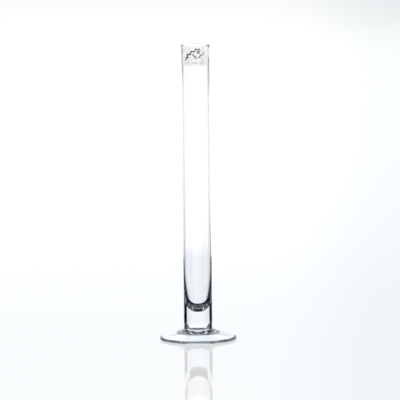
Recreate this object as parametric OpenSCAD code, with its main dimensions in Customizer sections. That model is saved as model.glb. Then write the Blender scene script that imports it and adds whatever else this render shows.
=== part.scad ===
// Tall single-stem bud vase in clear glass: a thin blown tube that ends in a heavy solid base,
// hot-joined to a separately gathered disc foot, with a clear printed label under the rim.
// Millimetres, +Z up, origin at the middle of the foot's resting plane, label on the -Y side.

/* [Tube] */
// Overall height of the vase
vase_h = 300; // [200:5:400]
// Outer diameter of the tube
tube_od = 29; // [27:0.5:34]
// Wall thickness of the tube above the well
wall_t = 0.9; // [0.8:0.1:2]
// Height of the well's lowest point above the table
well_floor_z = 28.2; // [22:0.1:40]
// Depth over which the well narrows from the full bore to its rounded bottom
well_depth = 68; // [30:1:80]
// Fullness of the well's shape: 2 is a plain ellipse, more is fuller at the bottom corners
well_fullness = 2.7; // [2:0.1:3]
// Rounding of the solid base's lower edge
base_round = 4.5; // [4:0.1:5]

/* [Foot] */
// Diameter of the foot
foot_d = 78; // [76:1:90]
// Height of the joint between the foot and the tube's solid base
joint_z = 8.6; // [8.2:0.1:10]
// Radius of the bead that wells up round the joint
bead_r = 1.9; // [1.6:0.1:2]
// Diameter of the boss where it meets the disc
boss_d = 43; // [42:0.5:44]
// Height of the boss's shoulder above the table
boss_z = 7.4; // [6.5:0.1:7.5]
// Thickness of the foot's rounded edge
edge_t = 2.8; // [2.6:0.1:3.5]
// Diameter of the domed middle of the hollow underside
hollow_d = 42; // [40:1:44]

/* [Label] */
// Width of the label, measured along the glass
label_w = 25.4; // [20:0.2:30]
// Height of the label
label_h = 19.6; // [18:0.2:26]
// Distance from the rim down to the label's top edge
label_drop = 0.9; // [0.9:0.1:20]
// Thickness of the adhesive under the film
adhesive_t = 0.05; // [0.04:0.01:0.1]
// Thickness of the film
film_t = 0.1; // [0.08:0.01:0.2]
// Thickness of the ink on the film
ink_t = 0.05; // [0.04:0.01:0.1]
// Corner rounding of the label
label_corner = 1; // [0.5:0.1:3]

/* [Print] */
// Width of the sprig's stem line at its thick end
twig_w = 1.1; // [0.7:0.05:1.3]
// Length of the sprig's largest leaf
leaf_l = 3.4; // [2.5:0.1:3.8]
// Diameter of the bud
bud_d = 3.4; // [2.4:0.1:4]
// Length of one dash in the row under the sprig
dash_l = 0.8; // [0.5:0.05:0.9]
// Height of one dash
dash_h = 0.8; // [0.4:0.05:1.2]

/* [Hidden] */
$fn = 96;

tube_r = tube_od / 2;
bore_r = tube_r - wall_t;
lip_r = wall_t / 2;
well_top_z = well_floor_z + well_depth;
fuse_angle = 53;
joint_r = tube_r - base_round * (1 - cos(fuse_angle));
foot_r = foot_d / 2;
edge_r = edge_t / 2;
rest_inset = 1;
bead_centre = [joint_r + 1.53 * bead_r, joint_z];

adhesive_r = tube_r + adhesive_t;
film_r = adhesive_r + film_t;
ink_r = film_r + ink_t;
label_half_angle = label_w / 2 / tube_r * 180 / PI;
label_mid_z = vase_h - label_drop - label_h / 2;

// Sprigs in label coordinates, across and up from the middle:
// start, bend, end, line width, number of leaves, leaf length
sprigs = [
    [[-10.3, -4.2], [-7.4, 5.2], [4.4, 7.9], twig_w, 7, leaf_l],
    [[-3, 2.6], [-0.6, 0.8], [0.4, -2.2], 0.82 * twig_w, 3, 0.74 * leaf_l],
    [[1.8, -1.6], [4.8, 0.2], [9, 3.6], 0.64 * twig_w, 4, 0.7 * leaf_l]];
bud_pos = [2.9, 4.4];
leaf_turn = 38;
leaf_slim = 0.34;
dash_groups = [[-10.5, 4], [-4.1, 5], [3.5, 5]];
dash_pitch = dash_l + 0.4;
dash_drop = 6.4;

function arc(centre, r, from, to, n) =
    [for (i = [0:n]) let (a = from + (to - from) * i / n) centre + r * [cos(a), sin(a)]];

function curve(a, b, c, t) = (1 - t) * (1 - t) * a + 2 * t * (1 - t) * b + t * t * c;

function heading(a, b, c, t) = let (d = (1 - t) * (b - a) + t * (c - b)) atan2(d[1], d[0]);

// Blown tube with its solid base, as one gather of glass
module tube() {
    power = 2 / well_fullness;
    well = [for (i = [0:30])
        let (a = 3 * i)
        [bore_r * pow(cos(a), power), well_top_z - well_depth * pow(sin(a), power)]];
    color("#e8f0f8", 0.35)
        rotate_extrude()
            polygon(concat(
                [[0, joint_z]],
                arc([tube_r - base_round, joint_z + base_round * sin(fuse_angle)], base_round, -fuse_angle, 0, 10),
                arc([tube_r - lip_r, vase_h - lip_r], lip_r, 0, 180, 10),
                well));
}

// Disc foot, blown hollow to an even thickness, with a boss and a bead round the joint
module foot() {
    rest_r = foot_r - edge_r - rest_inset;
    fall = (boss_z - edge_t) / (foot_r - edge_r - boss_d / 2);
    shelf_z = (rest_r - hollow_d / 2) * fall;
    underside = [for (i = [0:8])
        let (t = i / 8)
        [hollow_d / 2 * t, shelf_z + fall * hollow_d / 6 * (1 - t * t)]];
    color("#dfe9f2", 0.35)
        rotate_extrude()
            polygon(concat(
                underside,
                [[rest_r, 0]],
                arc([foot_r - edge_r, edge_r], edge_r, -90, 90 - atan(fall), 14),
                [[boss_d / 2, boss_z]],
                arc(bead_centre, bead_r, 60, 160, 12),
                [[joint_r, joint_z], [0, joint_z]]));
}

// One layer of the label: a slice of a thin ring, cut to the label's rounded outline
module label_layer(inner_r, outer_r, outline_half_w) {
    intersection() {
        difference() {
            translate([0, 0, label_mid_z - label_h])
                cylinder(r = outer_r, h = 2 * label_h);
            translate([0, 0, label_mid_z - label_h - 1])
                cylinder(r = inner_r, h = 2 * label_h + 2);
        }
        facing_cut(outline_half_w) children();
    }
}

// A flat outline pushed through the tube's front half
module facing_cut(depth_r) {
    translate([0, 0, label_mid_z])
        rotate([90, 0, 0])
            linear_extrude(height = depth_r)
                children();
}

module label_outline() {
    half_w = tube_r * sin(label_half_angle);
    for (side = [-1, 1])
        for (end = [-1, 1])
            translate([side * (half_w - label_corner), end * (label_h / 2 - label_corner)])
                circle(r = label_corner);
    square([2 * (half_w - label_corner), label_h], center = true);
    square([2 * half_w, label_h - 2 * label_corner], center = true);
}

// Clear adhesive between the glass and the film
module label_adhesive() {
    color("#f4f6f4", 0.3)
        label_layer(tube_r, adhesive_r, tube_r + 2) label_outline();
}

// Clear plastic film that carries the print
module label_film() {
    color("#eef3f6", 0.3)
        label_layer(adhesive_r, film_r, tube_r + 2) label_outline();
}

module leaf(length, width) {
    r = (length * length + width * width) / (4 * width);
    translate([length / 2, 0])
        intersection() {
            translate([0, r - width / 2]) circle(r = r);
            translate([0, width / 2 - r]) circle(r = r);
        }
}

// A tapering line along a curve through three points
module twig(a, b, c, width) {
    left = [for (i = [0:8])
        let (t = i / 8, h = heading(a, b, c, t), w = width * (1 - 0.5 * t) / 2)
        curve(a, b, c, t) + w * [-sin(h), cos(h)]];
    right = [for (i = [8:-1:0])
        let (t = i / 8, h = heading(a, b, c, t), w = width * (1 - 0.5 * t) / 2)
        curve(a, b, c, t) - w * [-sin(h), cos(h)]];
    polygon(concat(left, right));
}

// Leaves in turn on either side of a curve, smaller towards its end
module leaves(a, b, c, count, length) {
    for (i = [1:count]) {
        t = i / (count + 0.6);
        side = i % 2 == 0 ? 1 : -1;
        translate(curve(a, b, c, t))
            rotate(heading(a, b, c, t) + side * leaf_turn)
                leaf(length * (1 - 0.35 * t), length * leaf_slim);
    }
}

// Three dark leafy sprigs, in one ink
module print_sprig() {
    color("#2b322f")
        label_layer(film_r, ink_r, tube_r + 2)
            for (s = sprigs) {
                twig(s[0], s[1], s[2], s[3]);
                leaves(s[0], s[1], s[2], s[4], s[5]);
            }
}

// Round pink bud between the sprigs
module print_bud() {
    color("#b5647c")
        label_layer(film_r, ink_r, tube_r + 2)
            translate(bud_pos) circle(d = bud_d);
}

// Row of plain dashes in three groups
module print_dashes() {
    color("#a9a9a6")
        label_layer(film_r, ink_r, tube_r + 2)
            for (group = dash_groups)
                for (i = [0:group[1] - 1])
                    translate([group[0] + i * dash_pitch, -dash_drop - dash_h / 2])
                        square([dash_l, dash_h]);
}

tube();
foot();
label_adhesive();
label_film();
print_sprig();
print_bud();
print_dashes();
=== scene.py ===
"""Tall clear-glass bud vase on a pale floor: lathed glass, clear printed label, studio light."""

from math import asin, atan2, cos, degrees, pi, radians, sin, sqrt

import bmesh
import bpy
from mathutils import Matrix, Vector


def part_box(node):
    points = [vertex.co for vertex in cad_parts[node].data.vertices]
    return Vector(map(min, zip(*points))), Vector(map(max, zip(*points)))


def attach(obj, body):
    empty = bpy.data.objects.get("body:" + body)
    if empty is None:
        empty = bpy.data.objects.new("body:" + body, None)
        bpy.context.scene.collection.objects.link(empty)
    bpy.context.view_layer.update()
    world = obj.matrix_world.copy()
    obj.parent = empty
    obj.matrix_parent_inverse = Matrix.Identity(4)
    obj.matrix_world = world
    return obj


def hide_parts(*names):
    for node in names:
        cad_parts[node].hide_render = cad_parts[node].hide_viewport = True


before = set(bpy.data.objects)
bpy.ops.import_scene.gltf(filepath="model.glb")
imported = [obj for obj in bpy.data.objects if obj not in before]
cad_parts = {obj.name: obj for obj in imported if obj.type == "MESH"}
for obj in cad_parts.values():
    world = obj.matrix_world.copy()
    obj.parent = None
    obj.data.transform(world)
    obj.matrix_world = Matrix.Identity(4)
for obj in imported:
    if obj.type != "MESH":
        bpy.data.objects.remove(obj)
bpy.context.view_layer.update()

MM = 0.001

# ------------------------------------------------------------ sizes, from the frame and the design
tube_lo, tube_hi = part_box("tube")
foot_lo, foot_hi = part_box("foot")
film_lo, film_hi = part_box("label_film")

VASE_H = tube_hi.z
TUBE_R = (tube_hi.x - tube_lo.x) / 2
FOOT_R = (foot_hi.x - foot_lo.x) / 2
JOINT_Z = tube_lo.z
LABEL_MID_Z = (film_lo.z + film_hi.z) / 2
LABEL_H = film_hi.z - film_lo.z
LABEL_HALF_W = (film_hi.x - film_lo.x) / 2

WALL_T = 0.9 * MM
WELL_FLOOR_Z = 28.2 * MM
WELL_DEPTH = 68 * MM
WELL_FULLNESS = 2.7  # 2 is a plain ellipse; more is fuller at the bottom corners
BORE_SHIFT = 0.1 * MM  # how far the bore sits off the tube's axis
BASE_ROUND = 4.5 * MM
FUSE_ANGLE = 53  # how far round its lower edge the solid base curves before it meets the foot
JOINT_R = 12.7 * MM

BOSS_R = 21.5 * MM
BOSS_Z = 7.4 * MM
BEAD_R = 1.9 * MM
BEAD_CENTRE = (15.6 * MM, 8.6 * MM)
EDGE_R = 1.4 * MM
HOLLOW_R = 21 * MM
REST_INSET = 1 * MM

ADHESIVE_T = 0.05 * MM
FILM_T = 0.1 * MM
INK_T = 0.05 * MM
LABEL_GAP = 0.01 * MM
LABEL_CORNER = 1 * MM

# Waves of hand-made glass: their size, and where the tube's set in and fade out
TUBE_WAVE = 0.02 * MM
TUBE_WAVE_FROM_Z = 30 * MM
TUBE_WAVE_RISE = 50 * MM
TUBE_WAVE_FALL = 10 * MM
FOOT_WAVE = 0.05 * MM

# The print, in millimetres across and up from the label's middle
SPRIGS = (  # three points of the curve, line width, leaves, leaf length
    (((-10.3, -4.2), (-7.4, 5.2), (4.4, 7.9)), 1.1, 7, 3.4),
    (((-3.0, 2.6), (-0.6, 0.8), (0.4, -2.2)), 0.9, 3, 2.52),
    (((1.8, -1.6), (4.8, 0.2), (9.0, 3.6)), 0.7, 4, 2.38),
)
TWIG_TAPER = 0.5
LEAF_TURN = 38
LEAF_SLIM = 0.34
LEAF_TAPER = 0.35  # how much shorter the leaves get towards the twig's end
LEAF_TIP = 0.02  # share of a leaf's length that is cut off at each end
BUD = (2.9, 4.4)
BUD_D = 3.4
DASH_GROUPS = ((-10.5, 4), (-4.1, 5), (3.5, 5))  # start and number of dashes
DASH_L, DASH_H = 0.8, 0.8
DASH_PITCH = 1.2
DASH_DROP = 6.4

# Mesh fineness
TURN_STEPS = 288
TWIG_STEPS = 24
LEAF_STEPS = 12
BUD_STEPS = 12
DASH_STEPS = 3
LABEL_COLUMNS = 60
LABEL_ROWS = 24
LABEL_CORNER_STEP = 9  # degrees
ON_AXIS = 1e-7  # a point nearer the axis than this is on it
GLASS_CREASE = 50  # degrees, the angle from which an edge is shaded sharp
LABEL_CREASE = 40

GLASS_IOR = 1.5
BUMP_DEPTH = 0.02 * MM  # of the label's film and inks
GLASS_BOUNCES = 32
GLOSS_BOUNCES = 16

# Camera: a long lens, a little above the table, rolled because the vase leans slightly in the view
CAMERA_DISTANCE = 5.0
CAMERA_ELEVATION = 7.1
CAMERA_ROLL = 0.584
CAMERA_AIM = Vector((3.15 * MM, 0, 142 * MM))
CAMERA_FIELD = 405.6 * MM  # width of the view at the vase
SENSOR_WIDTH = 36

FLOOR_RADIUS = 30


# ------------------------------------------------------------ mesh helpers
def arc(centre, radius, start, end, steps):
    """Points (r, z) along an arc, angles in degrees from the +r direction."""
    angles = [radians(start + (end - start) * i / steps) for i in range(steps + 1)]
    return [(centre[0] + radius * cos(a), centre[1] + radius * sin(a)) for a in angles]


def line(a, b, steps):
    """Points (r, z) from a to b, without b."""
    shares = [i / steps for i in range(steps)]
    return [(a[0] + (b[0] - a[0]) * t, a[1] + (b[1] - a[1]) * t) for t in shares]


def finish_mesh(name, bm, materials, crease=None):
    mesh = bpy.data.meshes.new(name)
    bmesh.ops.recalc_face_normals(bm, faces=bm.faces)
    bm.to_mesh(mesh)
    bm.free()
    for mat in materials:
        mesh.materials.append(mat)
    mesh.shade_smooth()
    if crease is not None:
        mesh.set_sharp_from_angle(angle=radians(crease))
    obj = bpy.data.objects.new(name, mesh)
    bpy.context.scene.collection.objects.link(obj)
    return obj


def lathe(name, outline, glass, fused, fused_bands, drift):
    """Turns an outline that starts and ends on the axis into a closed mesh.

    fused_bands are the bands, numbered by their first point, that lie on the fused joint. drift
    moves a point's radius a little with angle and height, as hand work does.
    """
    bm = bmesh.new()
    rings = []
    for r, z in outline:
        if r < ON_AXIS:
            rings.append([bm.verts.new((0, 0, z))])
            continue
        ring = []
        for k in range(TURN_STEPS):
            a = 2 * pi * k / TURN_STEPS
            drifted = r + drift(a, r, z)
            ring.append(bm.verts.new((drifted * cos(a), drifted * sin(a), z)))
        rings.append(ring)
    for i, (lower, upper) in enumerate(zip(rings, rings[1:])):
        for k in range(TURN_STEPS):
            n = (k + 1) % TURN_STEPS
            if len(lower) == 1:
                corners = (lower[0], upper[k], upper[n])
            elif len(upper) == 1:
                corners = (lower[k], lower[n], upper[0])
            else:
                corners = (lower[k], lower[n], upper[n], upper[k])
            bm.faces.new(corners).material_index = int(i in fused_bands)
    return finish_mesh(name, bm, [glass, fused], GLASS_CREASE)


def wrap(x, z, radius):
    """A point of the label's flat front view, on a cylinder of that radius round the tube."""
    return (x, -sqrt(radius * radius - x * x), z)


def wrapped_slabs(name, grids, inner_r, outer_r, mat):
    """Closed thin slabs that follow the tube, one for each grid of (x, z) points."""
    bm = bmesh.new()
    for grid in grids:
        rows, cols = len(grid), len(grid[0])
        inner, outer = ([[bm.verts.new(wrap(x, z, r)) for x, z in row] for row in grid]
                        for r in (inner_r, outer_r))
        for skin in (inner, outer):
            for i in range(rows - 1):
                for j in range(cols - 1):
                    near, far = skin[i], skin[i + 1]
                    bm.faces.new((near[j], near[j + 1], far[j + 1], far[j]))
        border = [(0, j) for j in range(cols)]
        border += [(i, cols - 1) for i in range(1, rows)]
        border += [(rows - 1, j) for j in range(cols - 2, -1, -1)]
        border += [(i, 0) for i in range(rows - 2, 0, -1)]
        for (i, j), (k, l) in zip(border, border[1:] + border[:1]):
            bm.faces.new((inner[i][j], inner[k][l], outer[k][l], outer[i][j]))
    return finish_mesh(name, bm, [mat], LABEL_CREASE)


# ------------------------------------------------------------ node helpers
class Nodes:
    """Short way to write a node tree. Every method but add and put returns output sockets."""

    # The Mix node's colour sockets can only be told apart by number
    MIX_A, MIX_B, MIX_RESULT = 6, 7, 2

    def __init__(self, tree):
        self.tree = tree
        tree.nodes.clear()

    def add(self, kind, **settings):
        node = self.tree.nodes.new(kind)
        for key, value in settings.items():
            setattr(node, key, value)
        return node

    def put(self, socket, value):
        """Links another node's output to a socket, or sets the socket to a plain value."""
        if isinstance(value, bpy.types.NodeSocket):
            self.tree.links.new(value, socket)
        else:
            socket.default_value = value

    def math(self, operation, *values):
        node = self.add("ShaderNodeMath", operation=operation)
        for socket, value in zip(node.inputs, values):
            self.put(socket, value)
        return node.outputs[0]

    def chain(self, operation, values):
        total = values[0]
        for value in values[1:]:
            total = self.math(operation, total, value)
        return total

    def times(self, *values):
        return self.chain("MULTIPLY", values)

    def plus(self, *values):
        return self.chain("ADD", values)

    def most(self, *values):
        return self.chain("MAXIMUM", values)

    def less(self, *values):
        """The first value less all the others."""
        return self.chain("SUBTRACT", values)

    def ramp(self, value, low, high, to_low=0.0, to_high=1.0):
        """Goes smoothly from to_low to to_high while the value goes from low to high."""
        node = self.add("ShaderNodeMapRange", interpolation_type="SMOOTHSTEP")
        for key, v in (("Value", value), ("From Min", low), ("From Max", high),
                       ("To Min", to_low), ("To Max", to_high)):
            self.put(node.inputs[key], v)
        return node.outputs["Result"]

    def drop(self, value, low, high, size=1.0):
        """Goes smoothly from size to 0 while the value goes from low to high."""
        return self.ramp(value, low, high, size, 0.0)

    def dim(self, strength, share):
        """The strength with that share of it taken away."""
        return self.times(strength, self.less(1.0, share))

    def mix(self, factor, a, b):
        node = self.add("ShaderNodeMix", data_type="RGBA")
        self.put(node.inputs["Factor"], factor)
        self.put(node.inputs[self.MIX_A], a)
        self.put(node.inputs[self.MIX_B], b)
        return node.outputs[self.MIX_RESULT]

    def split(self, vector):
        """The three parts of a vector."""
        node = self.add("ShaderNodeSeparateXYZ")
        self.put(node.inputs[0], vector)
        return node.outputs

    def place(self):
        return self.add("ShaderNodeTexCoord").outputs["Object"]

    def noise(self, scale, detail=2.0):
        node = self.add("ShaderNodeTexNoise")
        for key, value in (("Vector", self.place()), ("Scale", scale), ("Detail", detail)):
            self.put(node.inputs[key], value)
        return node.outputs["Fac"]

    def bump(self, height, strength):
        node = self.add("ShaderNodeBump")
        for key, value in (("Height", height), ("Strength", strength), ("Distance", BUMP_DEPTH)):
            self.put(node.inputs[key], value)
        return node.outputs["Normal"]


# ------------------------------------------------------------ materials
def material(name, shader_kind="ShaderNodeBsdfPrincipled", **values):
    """A new material, its node tree and its shader, with the sockets named in values set."""
    mat = bpy.data.materials.new(name)
    mat.use_nodes = True
    nodes = Nodes(mat.node_tree)
    shader = nodes.add(shader_kind)
    for key, value in values.items():
        nodes.put(shader.inputs[key.replace("_", " ")], value)
    out = nodes.add("ShaderNodeOutputMaterial")
    nodes.put(out.inputs["Surface"], shader.outputs[0])
    return mat, nodes, shader


def clear_glass(name, tint):
    """Clear glass with a faint drift in its tint, as in glass gathered by hand."""
    mat, nodes, shader = material(name, Roughness=0.0, IOR=GLASS_IOR, Transmission_Weight=1.0)
    drift = nodes.ramp(nodes.noise(scale=24), 0.3, 0.7)
    nodes.put(shader.inputs["Base Color"], nodes.mix(drift, (1, 1, 1, 1), tint))
    return mat


def fused_face(name):
    """The face where the two gathers are fused: light passes straight on."""
    return material(name, "ShaderNodeBsdfTransparent")[0]


def clear_layer(name, colour, alpha, roughness):
    """Clear plastic with slightly uneven cover."""
    mat, nodes, shader = material(name, Alpha=alpha, Roughness=roughness)
    drift = nodes.noise(scale=380)
    darker = tuple(c * 0.9 for c in colour[:3]) + (1,)
    nodes.put(shader.inputs["Base Color"], nodes.mix(drift, colour, darker))
    nodes.put(shader.inputs["Normal"], nodes.bump(drift, 0.15))
    return mat


def ink(name, colour, faded):
    """Screen-printed ink: slightly uneven cover and a fine grain."""
    mat, nodes, shader = material(name)
    grain = nodes.noise(scale=2600, detail=4)
    cover = nodes.ramp(grain, 0.35, 0.75)
    nodes.put(shader.inputs["Base Color"], nodes.mix(cover, colour, faded))
    nodes.put(shader.inputs["Roughness"], nodes.ramp(grain, 0.2, 0.8, 0.45, 0.65))
    nodes.put(shader.inputs["Normal"], nodes.bump(grain, 0.3))
    return mat


# ------------------------------------------------------------ glass
def clamped(value):
    """The value, kept between 0 and 1."""
    return min(max(value, 0), 1)


def tube_drift(angle, r, z):
    """Slight out-of-round and unevenness of blown glass, fading out at the base and the rim.

    The constant in the outer wave keeps the outside within its true radius.
    """
    fade = clamped((z - TUBE_WAVE_FROM_Z) / TUBE_WAVE_RISE)
    fade *= clamped((VASE_H - z) / TUBE_WAVE_FALL)
    if r < TUBE_R - WALL_T / 2:
        wave = sin(2 * angle - z * 14 + 1.9) + 0.7 * sin(z * 61 + angle) + 0.3 * sin(5 * angle)
        wave -= BORE_SHIFT / TUBE_WAVE * cos(angle)
    else:
        wave = sin(2 * angle + z * 11 + 0.6) + 0.6 * sin(3 * angle - z * 17 + 2.1) - 1.6
    return TUBE_WAVE * fade * wave


def foot_drift(angle, r, z):
    """Slight out-of-round of the foot, growing towards its edge and never past its true radius."""
    wave = sin(2 * angle + 0.4) + 0.5 * sin(5 * angle + 1.2) - 1.5
    return FOOT_WAVE * wave * min(r / FOOT_R, 1) ** 2


def build_tube(glass, fused):
    bore_r = TUBE_R - WALL_T
    lip_r = WALL_T / 2
    well_top = WELL_FLOOR_Z + WELL_DEPTH
    drop = BASE_ROUND * sin(radians(FUSE_ANGLE))
    power = 2 / WELL_FULLNESS

    joint = line((0, JOINT_Z), (JOINT_R, JOINT_Z), steps=6)
    base = arc((TUBE_R - BASE_ROUND, JOINT_Z + drop), BASE_ROUND, -FUSE_ANGLE, 0, steps=16)
    base[0] = (JOINT_R, JOINT_Z)
    outside = line(base.pop(), (TUBE_R, VASE_H - lip_r), steps=90)
    lip = arc((TUBE_R - lip_r, VASE_H - lip_r), lip_r, 0, 180, steps=24)
    inside = line(lip.pop(), (bore_r, well_top), steps=70)
    well = [(bore_r * cos(radians(a)) ** power, well_top - WELL_DEPTH * sin(radians(a)) ** power)
            for a in range(90)]
    outline = joint + base + outside + lip + inside + well + [(0, WELL_FLOOR_Z)]
    return lathe("tube_glass", outline, glass, fused, range(len(joint)), tube_drift)


def build_foot(glass, fused):
    edge = (FOOT_R - EDGE_R, EDGE_R)
    rest_r = FOOT_R - EDGE_R - REST_INSET
    slope = degrees(atan2(BOSS_Z - 2 * EDGE_R, BOSS_R - edge[0]))
    steepness = (BOSS_Z - 2 * EDGE_R) / (edge[0] - BOSS_R)
    shelf_z = (rest_r - HOLLOW_R) * steepness
    crown = steepness * HOLLOW_R / 3
    dome_steps = 24

    underside = [(HOLLOW_R * i / dome_steps, shelf_z + crown * (1 - (i / dome_steps) ** 2))
                 for i in range(dome_steps)]
    underside += line((HOLLOW_R, shelf_z), (rest_r, 0), steps=16)
    rim = arc(edge, EDGE_R, -90, slope - 90, steps=32)
    disc = line(rim.pop(), (BOSS_R, BOSS_Z), steps=30)
    bead = arc(BEAD_CENTRE, BEAD_R, 60, 160, steps=24)
    boss = line((BOSS_R, BOSS_Z), bead[0], steps=12)
    joint = line((JOINT_R, JOINT_Z), (0, JOINT_Z), steps=6) + [(0, JOINT_Z)]
    outline = underside + rim + disc + boss + bead + joint
    fused_bands = range(len(outline) - len(joint), len(outline))
    return lathe("foot_glass", outline, glass, fused, fused_bands, foot_drift)


# ------------------------------------------------------------ label
def on_label(x, z):
    return (x * MM, LABEL_MID_Z + z * MM)


def curve_at(points, t):
    """Point and heading of a three-point curve."""
    (ax, az), (bx, bz), (cx, cz) = points
    x = (1 - t) ** 2 * ax + 2 * t * (1 - t) * bx + t * t * cx
    z = (1 - t) ** 2 * az + 2 * t * (1 - t) * bz + t * t * cz
    heading = atan2((1 - t) * (bz - az) + t * (cz - bz), (1 - t) * (bx - ax) + t * (cx - bx))
    return x, z, heading


def twig_grid(points, width):
    grid = []
    for i in range(TWIG_STEPS + 1):
        t = i / TWIG_STEPS
        x, z, h = curve_at(points, t)
        w = width * (1 - TWIG_TAPER * t) / 2
        grid.append([on_label(x - s * w * sin(h), z + s * w * cos(h)) for s in (1, -1)])
    return grid


def leaf_grid(x, z, heading, length, width):
    """A pointed leaf that grows from a point: the overlap of two circles."""
    radius = (length * length + width * width) / (4 * width)
    grid = []
    for i in range(LEAF_STEPS + 1):
        along = length * (LEAF_TIP + (1 - 2 * LEAF_TIP) * i / LEAF_STEPS)
        half = sqrt(radius ** 2 - (along - length / 2) ** 2) - (radius - width / 2)
        grid.append([on_label(x + along * cos(heading) - side * sin(heading),
                              z + along * sin(heading) + side * cos(heading))
                     for side in (half, 0, -half)])
    return grid


def sprig_grids():
    """Each sprig's twig, with leaves in turn on either side."""
    grids = []
    for points, width, leaves, leaf_length in SPRIGS:
        grids.append(twig_grid(points, width))
        for n in range(1, leaves + 1):
            t = n / (leaves + 0.6)
            x, z, heading = curve_at(points, t)
            heading += radians(LEAF_TURN) * (1 if n % 2 == 0 else -1)
            length = leaf_length * (1 - LEAF_TAPER * t)
            grids.append(leaf_grid(x, z, heading, length, leaf_length * LEAF_SLIM))
    return grids


def bud_grid():
    """A square grid pulled out to a circle."""
    steps = [2 * i / BUD_STEPS - 1 for i in range(BUD_STEPS + 1)]
    radius = BUD_D / 2
    return [[on_label(BUD[0] + radius * u * sqrt(1 - v * v / 2),
                      BUD[1] + radius * v * sqrt(1 - u * u / 2)) for v in steps] for u in steps]


def dash_grids():
    grids = []
    z = -DASH_DROP - DASH_H / 2
    for start, count in DASH_GROUPS:
        for n in range(count):
            xs = [start + n * DASH_PITCH + DASH_L * i / DASH_STEPS for i in range(DASH_STEPS + 1)]
            grids.append([[on_label(x, level) for x in xs] for level in (z, z + DASH_H)])
    return grids


def label_grid():
    """The label's outline as rows of points, with rounded corners."""
    half_h = LABEL_H / 2
    flat_h = half_h - LABEL_CORNER
    corner = [half_h - LABEL_CORNER * (1 - sin(radians(a)))
              for a in range(0, 91, LABEL_CORNER_STEP)]
    flat = [-flat_h + 2 * flat_h * i / LABEL_ROWS for i in range(1, LABEL_ROWS)]
    grid = []
    for z in [-h for h in reversed(corner)] + flat + corner:
        over = max(abs(z) - flat_h, 0)
        half_w = LABEL_HALF_W - LABEL_CORNER + sqrt(max(LABEL_CORNER ** 2 - over ** 2, 0))
        reach = asin(half_w / TUBE_R)
        grid.append([(TUBE_R * sin(reach * (2 * i / LABEL_COLUMNS - 1)), LABEL_MID_Z + z)
                     for i in range(LABEL_COLUMNS + 1)])
    return grid


# ------------------------------------------------------------ studio light
# All angles are in degrees. Azimuth is 0 behind the vase and grows to the right. A pair of angles
# is where a change begins and where it ends.
SCREEN_EDGES = (43.0, 44.5)  # the screen's half-width, left and right
SCREEN_SOFT = (-2.5, 1.0)
LEFT_TO_RIGHT = (-10.0, 10.0)
NEAR_MIDDLE = (-5.0, 5.0)
WINDOW_AT = 90.0
SLOPED_FLAGS = (76.0, 194.0, -104.0)
STRIP_DARKNESS = 0.8
SPENT_SHARE = 0.92
FLAG_GLOW = 0.005

WHITE = (1, 1, 1, 1)
COOL_WHITE = (0.955, 0.985, 1.03, 1)
GLOW_BLUE = (0.45, 0.62, 1.25, 1)
ROOM_WHITE = (0.985, 0.995, 1.0, 1)


class StudioNodes(Nodes):
    """The world's node tree, with the direction and the history of the light at hand."""

    def __init__(self, tree):
        super().__init__(tree)
        x, y, z = self.split(self.add("ShaderNodeTexCoord").outputs["Generated"])
        self.elevation = self.times(self.math("ARCSINE", z), 180 / pi)
        self.azimuth = self.times(self.math("ARCTAN2", x, y), 180 / pi)
        self.steep = self.math("ABSOLUTE", self.elevation)
        self.off = self.math("ABSOLUTE", self.azimuth)
        path = self.add("ShaderNodeLightPath").outputs
        self.depth = path["Ray Depth"]
        self.reflected = path["Is Reflection Ray"]
        self.transmitted = path["Is Transmission Ray"]
        self.sharp = self.most(path["Is Glossy Ray"], self.transmitted)
        # 1 where the light was only bent on its way, 0 where it was also mirrored once
        self.bent = self.math("MODULO", self.depth, 2.0)
        # 1 where the light went through more walls than the way straight through the tube takes
        self.many = self.ramp(self.depth, 5.2, 6.0)
        # 1 where it was led down inside the thick wall beside the well
        self.piped = self.times(self.drop(path["Transmission Depth"], 2.2, 2.8),
                                self.drop(self.elevation, -17.0, -14.0), self.many)


def lit_directions(n):
    """1 where the surroundings are lit, 0 on the black flags."""
    # The screen behind the vase is narrower at some heights, and on the right
    narrower = (
        n.times(n.ramp(n.steep, 6.9, 7.8), n.drop(n.steep, 8.2, 8.35), 11.0),
        n.drop(n.steep, 5.45, 6.0, 16.0),
        n.drop(n.elevation, -24.0, -18.0, 13.0),
        n.times(n.ramp(n.steep, 8.25, 8.4), n.ramp(n.azimuth, *LEFT_TO_RIGHT, 0.0, 3.0)),
    )
    edge = n.less(n.ramp(n.azimuth, *LEFT_TO_RIGHT, *SCREEN_EDGES), *narrower)
    screen = n.drop(n.less(n.off, edge), *SCREEN_SOFT)

    # Near eye level: also a narrow window at each side and the room behind the camera
    window = n.drop(n.math("ABSOLUTE", n.less(n.off, WINDOW_AT)), 11.0, 15.0)
    window = n.times(window, n.ramp(n.elevation, -8.35, -8.2))
    room = n.ramp(n.off, 135.0, 139.0)
    level = n.most(screen, window, room)

    # Higher and lower: narrow flags only, well away from the screen
    clear = []
    for centre in SLOPED_FLAGS:
        turn = n.math("WRAP", n.less(n.azimuth, centre), 180.0, -180.0)
        clear.append(n.ramp(n.math("ABSOLUTE", turn), 14.0, 18.0))
    high_or_low = n.most(screen, n.times(*clear))
    sloped = n.ramp(n.steep, 10.5, 12.5)
    lit = n.plus(n.dim(level, sloped), n.times(high_or_low, sloped))

    # Mirrored light meets no flags just above the horizon, and piped light meets none at all
    horizon = n.times(n.ramp(n.elevation, -0.5, 0.5), n.drop(n.elevation, 7.0, 7.5), n.reflected)
    return n.most(lit, horizon, n.piped)


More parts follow.
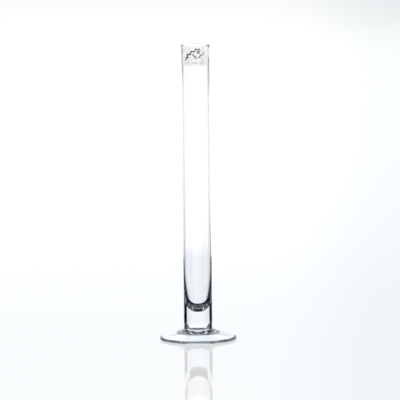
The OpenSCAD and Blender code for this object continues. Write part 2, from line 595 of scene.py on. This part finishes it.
def brightness(n):
    """How bright the lit parts are.

    Fullest a few degrees above and below eye level, less at it and to the sides, dark far below.
    """
    sideways = n.ramp(n.off, 5.0, 45.0, 1.0, 0.84)
    sideways = n.most(sideways, n.times(n.reflected, n.ramp(n.elevation, 0.0, 1.0)))
    dip = n.plus(n.ramp(n.elevation, -6.0, -5.6, 0.0, 0.12),
                 n.ramp(n.elevation, -4.8, -4.0, 0.0, 0.2))
    dip = n.times(dip, n.drop(n.elevation, 4.0, 5.0))
    level = n.less(n.ramp(n.steep, 6.4, 8.8, 1.3, 1.02), dip)
    return n.times(sideways, level, n.ramp(n.elevation, -36.5, -33.5, 0.01, 1.0))


def dark_strip(n):
    """A dark strip above the table's horizon, seen straight through the pinched joint."""
    strip = n.times(n.ramp(n.elevation, 7.5, 9.5), n.drop(n.elevation, 26.0, 29.0))
    return n.times(strip, n.bent, n.transmitted, STRIP_DARKNESS)


def dark_room(n):
    """Light mirrored once by the glass comes from the dark room, more so on the right."""
    mirrored = n.times(n.less(1.0, n.bent), n.drop(n.elevation, -1.0, 0.0))
    start = n.ramp(n.azimuth, *NEAR_MIDDLE, 7.9, 6.9)
    span = n.ramp(n.azimuth, *NEAR_MIDDLE, 0.45, 1.2)
    dark = n.ramp(n.math("DIVIDE", n.less(n.steep, start), span), 0.0, 1.0)
    inward = n.drop(n.steep, 8.3, 8.45, 26.0)
    aside = n.ramp(n.less(n.off, inward), 30.0, 36.0)
    lower = n.less(1.0, n.times(aside, n.drop(n.off, 66.0, 72.0)))
    aside = n.most(aside, n.times(lower, n.ramp(n.steep, 9.0, 9.5)))
    return n.dim(n.times(dark, aside, mirrored), n.piped)


def spent_light(n):
    """Light that has been round many times in the thick bottom of the well is nearly spent."""
    down = n.times(n.many, n.drop(n.elevation, -15.0, -14.0, SPENT_SHARE))
    deep = n.plus(n.drop(n.elevation, -1.0, 0.0, SPENT_SHARE),
                  n.ramp(n.elevation, 12.0, 14.0, 0.0, SPENT_SHARE))
    deep = n.times(deep, n.ramp(n.depth, 6.2, 7.0))
    return n.dim(n.most(down, deep), n.piped)


def floor_fade(n):
    """The far floor mirrors a screen that fades low down and on the right."""
    fade = n.plus(n.drop(n.elevation, 4.9, 5.4, 0.22), n.ramp(n.azimuth, 0.8, 2.4, 0.0, 0.16))
    return n.times(fade, n.reflected, n.ramp(n.elevation, 1.0, 3.0))


def build_world():
    """Bright-field studio: a broad white screen behind the glass and black flags beside it.

    The camera and matt surfaces see plain pale light; glass and gloss see the screen and the flags.
    """
    world = bpy.data.worlds.new("studio")
    bpy.context.scene.world = world
    world.use_nodes = True
    n = StudioNodes(world.node_tree)

    strength = n.times(lit_directions(n), brightness(n))
    for loss in (dark_strip(n), dark_room(n), spent_light(n), floor_fade(n)):
        strength = n.dim(strength, loss)
    # The flags are never quite black: a little blue comes off them
    strength = n.most(strength, FLAG_GLOW)
    tint = n.mix(n.ramp(n.steep, 6.0, 9.0), WHITE, COOL_WHITE)
    tint = n.mix(n.ramp(strength, 0.02, 0.7), GLOW_BLUE, tint)

    backgrounds = []
    for colour, power in ((ROOM_WHITE, 1.0), (tint, strength)):
        background = n.add("ShaderNodeBackground")
        n.put(background.inputs["Color"], colour)
        n.put(background.inputs["Strength"], power)
        backgrounds.append(background.outputs[0])
    mixer = n.add("ShaderNodeMixShader")
    for socket, value in zip(mixer.inputs, (n.sharp, *backgrounds)):
        n.put(socket, value)
    n.put(n.add("ShaderNodeOutputWorld").inputs["Surface"], mixer.outputs[0])


# ------------------------------------------------------------ floor and camera
def build_floor():
    """Pale, faintly polished floor, with painted shade: its colour turns a little bluer and darker
    to the right, standing in for light that falls off there.
    """
    mat, nodes, shader = material("floor_white", Roughness=0.04, IOR=1.18)
    # Painted shade: the base colour darkens and turns bluer towards the right, in place of a real
    # fall-off of the light.
    side = nodes.ramp(nodes.split(nodes.place())[0], 0.02, 0.3)
    colour = nodes.mix(side, (0.955, 0.96, 0.96, 1), (0.9, 0.93, 0.96, 1))
    nodes.put(shader.inputs["Base Color"], colour)
    bm = bmesh.new()
    bmesh.ops.create_circle(bm, cap_ends=True, segments=96, radius=FLOOR_RADIUS)
    floor = finish_mesh("floor", bm, [mat])
    floor.visible_transmission = False
    floor.visible_glossy = False


def build_camera():
    data = bpy.data.cameras.new("camera")
    data.sensor_width = SENSOR_WIDTH
    data.lens = SENSOR_WIDTH * CAMERA_DISTANCE / CAMERA_FIELD
    cam = bpy.data.objects.new("camera", data)
    e = radians(CAMERA_ELEVATION)
    back = Vector((0, -cos(e), sin(e)))
    aimed = (-back).to_track_quat("-Z", "Y").to_matrix().to_4x4()
    turn = aimed @ Matrix.Rotation(radians(-CAMERA_ROLL), 4, "Z")
    cam.matrix_world = Matrix.Translation(CAMERA_AIM + back * CAMERA_DISTANCE) @ turn
    bpy.context.scene.collection.objects.link(cam)
    bpy.context.scene.camera = cam


def set_light_paths():
    """Lets light through every wall of the glass, and keeps the studio's whites as they are."""
    scene = bpy.context.scene
    scene.view_settings.view_transform = "Standard"
    scene.cycles.max_bounces = GLASS_BOUNCES
    scene.cycles.transmission_bounces = GLASS_BOUNCES
    scene.cycles.transparent_max_bounces = GLASS_BOUNCES
    scene.cycles.glossy_bounces = GLOSS_BOUNCES


# ------------------------------------------------------------ build
build_camera()
build_world()
build_floor()
set_light_paths()

fused = fused_face("fused_joint")
tube = build_tube(clear_glass("tube_glass", (0.985, 0.99, 1, 1)), fused)
foot = build_foot(clear_glass("foot_glass", (0.86, 0.9, 0.95, 1)), fused)

glue_r = TUBE_R + LABEL_GAP
film_r = glue_r + ADHESIVE_T
ink_r = film_r + FILM_T
top_r = ink_r + INK_T
adhesive = wrapped_slabs("label_adhesive_layer", [label_grid()], glue_r, film_r,
                         clear_layer("adhesive", (0.9, 0.93, 0.95, 1), alpha=0.04, roughness=0.3))
film = wrapped_slabs("label_film_sheet", [label_grid()], film_r, ink_r,
                     clear_layer("film", (0.5, 0.53, 0.56, 1), alpha=0.3, roughness=0.12))
sprig = wrapped_slabs("sprig_ink", sprig_grids(), ink_r, top_r,
                      ink("dark_ink", (0.03, 0.04, 0.036, 1), (0.07, 0.085, 0.08, 1)))
bud = wrapped_slabs("bud_ink", [bud_grid()], ink_r, top_r,
                    ink("pink_ink", (0.47, 0.18, 0.26, 1), (0.6, 0.3, 0.38, 1)))
dashes = wrapped_slabs("dash_ink", dash_grids(), ink_r, top_r,
                       ink("grey_ink", (0.36, 0.36, 0.34, 1), (0.45, 0.45, 0.43, 1)))

for piece, node, slot in (
    (tube, "tube", "tube_glass"),
    (foot, "foot", "foot_glass"),
    (adhesive, "label_adhesive", "adhesive"),
    (film, "label_film", "film"),
    (sprig, "print_sprig", "dark_ink"),
    (bud, "print_bud", "pink_ink"),
    (dashes, "print_dashes", "grey_ink"),
):
    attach(piece, "root")
    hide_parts(node)

# The clear pieces cast no shadow and throw no light on the floor
for piece in (tube, foot, adhesive, film):
    piece.visible_shadow = False
    piece.visible_diffuse = False
